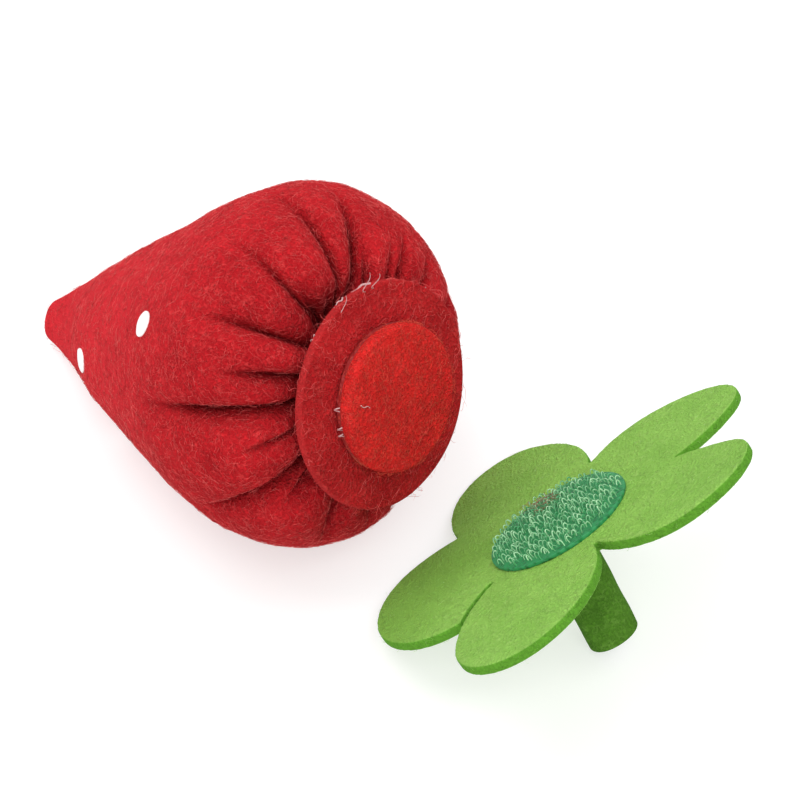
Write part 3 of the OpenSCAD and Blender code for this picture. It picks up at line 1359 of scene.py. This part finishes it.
    def build(self, finish: Finishes, nodes: Nodes) -> None:
        """Builds the whole berry.

        Args:
            finish: Materials by name.
            nodes: The CAD nodes by name.
        """
        mouth = self.mouth_frame(nodes)
        skin = self.add_skin(finish)
        self.add_stuffing(finish)
        self.add_seeds(finish, skin)
        self.add_cover(finish, mouth)
        self.add_loops(finish, mouth)
        self.add_squeeze(finish, mouth)
        self.add_flecks(finish, mouth)
        dress_hidden(finish, nodes, side_seam="red_felt", seam_thread="thread", gathering_thread="thread",
                     cover_glue="hot_glue", loop_glue="hot_glue")


# --- The cap ----------------------------------------------------------------------------


@dataclass(frozen=True)
class Petal:
    """One petal. Angle in degrees from downhill, the rest in mm."""

    angle: float
    middle: float  # its middle's distance from the hub's
    half_len: float
    half_w: float
    lift: float  # how far its end bends towards the hooks


# Each petal is a little different, as hand-cut ones are
PETALS = (
    Petal(34, 16.4, 11.5, 13.3, 0.4), Petal(107.5, 18.1, 13.3, 9.9, 0.3), Petal(184, 17.6, 12.8, 9.3, 1.8),
    Petal(249, 18.1, 13.4, 9.4, -1.3), Petal(323.5, 18.3, 13.9, 10.6, 0.8),
)


@dataclass
class Cap:
    """The leafy cap: calyx, hook disc and stem. Lengths in mm, in the cap's frame."""

    leaf_t: float = 1.45
    hub_r: float = 12.0
    slit: float = 0.62  # width of the cut between the first two petals
    grain: float = 0.23  # size of the raggedness of a cut edge
    coin_r: float = 10.0
    tape_top: float = 0.55
    hook_pitch: float = 1.03
    hook_reach: float = 9.6  # no hook stands further out
    row_turn: float = 64.0  # how the rows of hooks lie, in degrees
    hook_h: float = 1.0
    hook_wire: float = 0.085
    lint_count: int = 26
    stem_r: float = 3.95
    stem_len: float = 16.2
    stem_lean: float = 4.0  # in degrees
    stem_foot: tuple[float, float] = (1.2, 0.18)
    strip_t: float = 1.0
    nudge: tuple[float, float, float] = (0.33, -0.35, 0.0)  # from the CAD disc

    def frame(self, nodes: Nodes) -> Place:
        """Works out the cap's frame from the CAD hook disc.

        Args:
            nodes: The CAD nodes by name.

        Returns:
            The frame: z out of the hook side, x downhill, zero at the calyx's face.
        """
        out = disc_normal(nodes["hook_backing"], Vector((0, 0, 1)))
        face = box_middle("hook_backing") - out * 0.55 * MM
        downhill = (out * out.z - Vector((0, 0, 1))).normalized()
        return Place(face + Vector(self.nudge) * MM, downhill, out.cross(downhill), out)

    def blank(self, name: str, petal: Petal | None, spare: float = 0.0) -> bpy.types.Object:
        """Cuts one petal or the hub out of felt.

        Args:
            name: The blank's name.
            petal: The petal, or none for the hub.
            spare: How much larger it is all round.

        Returns:
            The blank.
        """
        bpy.ops.object.select_all(action="DESELECT")
        bpy.ops.mesh.primitive_cylinder_add(vertices=96, radius=self.hub_r * MM, depth=self.leaf_t * MM,
                                            location=(0, 0, -self.leaf_t / 2 * MM))
        obj = named(name)
        if petal:
            length, width = (petal.half_len + spare) / self.hub_r, (petal.half_w + spare) / self.hub_r
            obj.scale = (length, width, 1 + spare)
            turn = math.radians(petal.angle)
            obj.rotation_euler = (0, 0, turn)
            obj.location.x = petal.middle * math.cos(turn) * MM
            obj.location.y = petal.middle * math.sin(turn) * MM
        bpy.ops.object.transform_apply(location=True, rotation=True, scale=True)
        return obj

    def cut_leaf(self) -> bpy.types.Object:
        """Cuts the five-petalled calyx from one piece of felt.

        Returns:
            The flat calyx with ragged edges, in the cap's frame.
        """
        calyx = self.blank("calyx_leaf", None)
        for k, petal in enumerate(PETALS):
            blank = self.blank(f"petal_{k}", petal)
            if k == 0:
                beside = self.blank("beside", PETALS[1], self.slit)
                fix_modifier(blank, "BOOLEAN", operation="DIFFERENCE", object=beside, solver="EXACT")
                bpy.data.objects.remove(beside)
            fix_modifier(calyx, "BOOLEAN", operation="UNION", object=blank, solver="EXACT")
            bpy.data.objects.remove(blank)
        fix_modifier(calyx, "REMESH", mode="VOXEL", voxel_size=self.grain * MM)
        fix_modifier(calyx, "SMOOTH", factor=0.5, iterations=9)
        return calyx

    def bend(self, p: np.ndarray) -> np.ndarray:
        """Works out how far each petal's end bends up or down.

        Args:
            p: The flat calyx's vertices, in mm.

        Returns:
            The rise of each vertex, in mm.
        """
        lift = np.zeros(len(p))
        root = 9  # where a petal starts to bend
        for petal in PETALS:
            turn = math.radians(petal.angle)
            along = p[:, 0] * math.cos(turn) + p[:, 1] * math.sin(turn)
            across = -p[:, 0] * math.sin(turn) + p[:, 1] * math.cos(turn)
            share = np.clip((along - root) / (petal.middle + petal.half_len - root), 0, 2) ** 2
            inside = np.exp(-(np.abs(across) / (petal.half_w * 1.05)) ** 6)
            own = petal.lift * share * inside
            lift = np.where(np.abs(own) > np.abs(lift), own, lift)
        return lift

    def add_calyx(self, finish: Finishes, frame: Place) -> None:
        """Adds the calyx with its fuzz.

        Args:
            finish: Materials by name.
            frame: The cap's frame.
        """
        calyx = self.cut_leaf()
        p = vertex_array(calyx) / MM
        upright = np.abs(vertex_array(calyx, "normal")[:, 2])
        # painted shade: the side walls are drawn darker green
        store(calyx, "edge_highlight_and_shade", 1 - step(0.35, 0.85, upright))
        # painted shade: the downhill petal beside the berry is drawn darker green, as the berry's shade falls
        # on it
        store(calyx, "tip_fade_and_shade", 0.75 * step(4, 18, p[:, 0]) * step(-6, 6, p[:, 1]))
        p[:, 2] += self.bend(p) + 0.08 * waves(p * MM, 0.02, 31, 8)
        set_vertices(calyx, p * MM)
        place(calyx, frame)
        dress(calyx, finish["green_felt"], Body.CAP, "calyx")
        tufts = Tufts("leaf_fuzz", count=900, length=0.9 * MM, thickness=0.035 * MM, lift=0.06 * MM, curl=0.8,
                      seed=33, joints=4)
        dress(tufts.over(calyx), finish["green_fibre"], Body.CAP)

    def hook_shape(self) -> tuple[np.ndarray, Faces]:
        """Models one nylon hook, an arch of wire standing on z.

        Returns:
            Its vertices in mm, and its faces.
        """
        arch = [Vector((-0.3, 0, -0.1)), Vector((-0.33, 0, 0.5)), Vector((-0.29, 0, 0.95)),
                Vector((0.0, 0, 1.25)), Vector((0.29, 0, 0.95)), Vector((0.32, 0, 0.45))]
        wire = strand("hook", arch, self.hook_wire)
        points = vertex_array(wire) * [1, 1, self.hook_h / max(v.co.z for v in wire.data.vertices)]
        faces = [tuple(p.vertices) for p in wire.data.polygons]
        bpy.data.objects.remove(wire)
        return points, faces

    def add_tape(self, finish: Finishes, frame: Place) -> None:
        """Adds the hook disc's woven ground.

        Args:
            finish: Materials by name.
            frame: The cap's frame.
        """
        tape = FeltDisc("hook_ground", self.coin_r, 0.5, crown=0.0, waver=0.04, edge=0.12,
                        seed=35).build(frame, self.tape_top)
        dress(tape, finish["hook_tape"], Body.CAP, "hook_backing")

    def add_hooks(self, finish: Finishes, frame: Place) -> None:
        """Adds the rows of nylon hooks, each a little different.

        Args:
            finish: Materials by name.
            frame: The cap's frame.
        """
        shape, faces = self.hook_shape()
        rng = np.random.default_rng(36)
        steps = int(self.coin_r / self.hook_pitch) + 1
        points, every, tones = [], [], []
        row_turn = math.radians(self.row_turn)
        row_c, row_s = math.cos(row_turn), math.sin(row_turn)
        for i in range(-steps, steps + 1):
            for j in range(-steps, steps + 1):
                spot = np.array([i * self.hook_pitch * 0.93, (j + 0.5 * (i % 2)) * self.hook_pitch])
                spot = spot + rng.normal(0, 0.09, 2)
                if np.hypot(*spot) > self.hook_reach:
                    continue
                turn = rng.normal(0.0, 0.5) + (math.pi if i % 2 else 0)
                lean = rng.normal(0, 0.14, 2)
                c, s = math.cos(turn), math.sin(turn)
                hook = shape * rng.uniform(0.85, 1.12, 3)
                x = hook[:, 0] * c - hook[:, 1] * s + lean[0] * hook[:, 2] + spot[0]
                y = hook[:, 0] * s + hook[:, 1] * c + lean[1] * hook[:, 2] + spot[1]
                every += [tuple(k + len(points) * len(shape) for k in f) for f in faces]
                turned_x, turned_y = x * row_c - y * row_s, x * row_s + y * row_c
                points.append(np.stack([turned_x, turned_y, hook[:, 2] + 0.5], axis=1))
                tones += [rng.uniform()] * len(shape)
        hooks = mesh_piece("nylon_hooks", np.vstack(points) * MM, every)
        store(hooks, "tone", np.array(tones))
        place(hooks, frame)
        dress(hooks, finish["hook_nylon"], Body.CAP, "hooks")

    def add_lint(self, finish: Finishes, frame: Place) -> None:
        """Catches a wisp of red lint in the hooks.

        Args:
            finish: Materials by name.
            frame: The cap's frame.
        """
        rng = np.random.default_rng(37)
        count = self.lint_count
        spots = np.stack([rng.normal(4.2, 1.1, count), rng.normal(-3.4, 0.9, count),
                          rng.uniform(1.0, 1.7, count)], axis=1)
        up = np.tile([0.0, 0.0, 1.0], (count, 1))
        tufts = Tufts("hook_lint", count=count, length=1.9 * MM, thickness=0.06 * MM, lift=0.4 * MM, curl=2.2,
                      seed=38, joints=10, grounded=False)
        lint = tufts.scatter(spots * MM, up)
        place(lint, frame)
        dress(lint, finish["lint"], Body.CAP)

    def add_stem(self, finish: Finishes, frame: Place) -> None:
        """Rolls a strip of felt into the stem.

        Args:
            finish: Materials by name.
            frame: The cap's frame.
        """
        length = self.stem_len
        pitch = self.strip_t + 0.06
        turns = (self.stem_r - self.strip_t / 2) / pitch
        bpy.ops.object.select_all(action="DESELECT")
        bpy.ops.mesh.primitive_grid_add(x_subdivisions=150, y_subdivisions=24, size=1)
        obj = named("rolled_stem")
        p = vertex_array(obj)
        angle = (p[:, 0] + 0.5) * turns * 2 * math.pi
        radius = np.maximum(pitch * angle / (2 * math.pi), 0.1)
        spun = angle + math.radians(160)
        high = (p[:, 1] - 0.5) * length
        rolled = np.stack([radius * np.cos(spun), radius * np.sin(spun), high], axis=1)
        set_vertices(obj, rolled * MM)
        fix_modifier(obj, "SOLIDIFY", thickness=self.strip_t * MM, offset=0)
        fix_modifier(obj, "BEVEL", width=0.18 * MM, segments=2, limit_method="ANGLE",
                     angle_limit=math.radians(50))
        face_out(obj)
        p = vertex_array(obj) / MM
        p[:, :2] *= 1 + 0.07 * waves(p * MM, 0.006, 41)[:, None] / self.stem_r
        lean = math.radians(self.stem_lean)
        x = self.stem_foot[0] + p[:, 0] * math.cos(lean) - p[:, 2] * math.sin(lean)
        y = self.stem_foot[1] + p[:, 1] - p[:, 2] * math.sin(lean * 0.95)
        z = p[:, 2] * math.cos(lean) + p[:, 0] * math.sin(lean) - self.leaf_t
        set_vertices(obj, np.stack([x, y, z], axis=1) * MM)
        place(obj, frame)
        dress(obj, finish["stem_felt"], Body.CAP, "stem", sharp=60)

    def build(self, finish: Finishes, nodes: Nodes) -> None:
        """Builds the whole cap.

        Args:
            finish: Materials by name.
            nodes: The CAD nodes by name.
        """
        frame = self.frame(nodes)
        self.add_calyx(finish, frame)
        self.add_tape(finish, frame)
        self.add_hooks(finish, frame)
        self.add_lint(finish, frame)
        self.add_stem(finish, frame)
        dress_hidden(finish, nodes, hook_glue="hot_glue", stem_glue="hot_glue")


# --- The studio -------------------------------------------------------------------------


@dataclass
class Studio:
    """A white floor, soft lights and the camera. Lengths in metres, angles in degrees."""

    azimuth: float = 37.0
    elevation: float = 41.24
    distance: float = 0.309
    lens: float = 92.05  # in mm
    target: tuple[float, float, float] = (0.0050, 0.0224, 0.0)
    floor_size: float = 16.0
    floor_glow: float = 0.60
    light_size: float = 0.5
    room_light: float = 0.70

    def add_camera(self) -> None:
        """Sets up the camera."""
        bpy.ops.object.camera_add()
        camera = bpy.context.active_object
        turn, rise = math.radians(self.azimuth), math.radians(self.elevation)
        look = Vector((-math.sin(turn) * math.cos(rise), math.cos(turn) * math.cos(rise), -math.sin(rise)))
        camera.location = Vector(self.target) - look * self.distance
        camera.rotation_euler = look.to_track_quat("-Z", "Y").to_euler()
        camera.data.lens = self.lens
        camera.data.sensor_width = 36
        camera.data.clip_start = 0.01
        bpy.context.scene.camera = camera

    def add_floor(self) -> None:
        """Lays the white floor."""
        bpy.ops.object.select_all(action="DESELECT")
        bpy.ops.mesh.primitive_plane_add(size=self.floor_size, location=(0, 0, 0))
        floor = named("floor")
        g = Graph("white_floor")
        paper = g.blend(g.noise(0.4), (0.44, 0.44, 0.44), (0.46, 0.46, 0.46))
        g.plug(paper, g.shader.inputs["Base Color"])
        g.shader.inputs["Emission Color"].default_value = (1, 1, 1, 1)
        g.shader.inputs["Emission Strength"].default_value = self.floor_glow
        g.shader.inputs["Roughness"].default_value = 0.9
        g.shader.inputs["Specular IOR Level"].default_value = 0.1
        floor.data.materials.append(g.material)

    def add_lights(self) -> None:
        """Hangs the soft lights and lights the room."""
        lamps = (("left", (-0.24, -0.14, 0.75), 2.6), ("right", (0.4, -0.4, 0.6), 2.4),
                 ("back", (0.3, 0.45, 0.6), 1.2))
        for name, spot, power in lamps:
            bpy.ops.object.light_add(type="AREA", location=spot)
            light = bpy.context.active_object
            light.name = name
            light.data.size = self.light_size
            light.data.energy = power
            light.rotation_euler = (-Vector(spot)).to_track_quat("-Z", "Y").to_euler()
        world = bpy.data.worlds.new("room")
        world.use_nodes = True
        sky = world.node_tree.nodes["Background"].inputs
        sky["Color"].default_value = (1, 1, 1, 1)
        sky["Strength"].default_value = self.room_light
        bpy.context.scene.world = world
        bpy.context.scene.view_settings.view_transform = "Standard"

    def build(self) -> None:
        """Builds the studio."""
        self.add_camera()
        self.add_floor()
        self.add_lights()


def main() -> None:
    """Builds the pincushion's looks on the CAD frame."""
    logging.basicConfig(level=logging.INFO, format="%(message)s")
    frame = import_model()
    finish = {f.name: f.make() for f in (
        RED_FELT, COVER_FELT, PILE_FELT, LEAF_FELT, STEM_FELT, FILL, RED_FIBRE, PILE_FIBRE, LINT, GREEN_FIBRE,
        HOOK_NYLON, HOOK_TAPE, LOOP_TAPE, GLUE, SEED_WHITE, THREAD)}
    Studio().build()
    Berry().build(finish, frame["nodes"])
    Cap().build(finish, frame["nodes"])


if __name__ == "__main__":
    main()
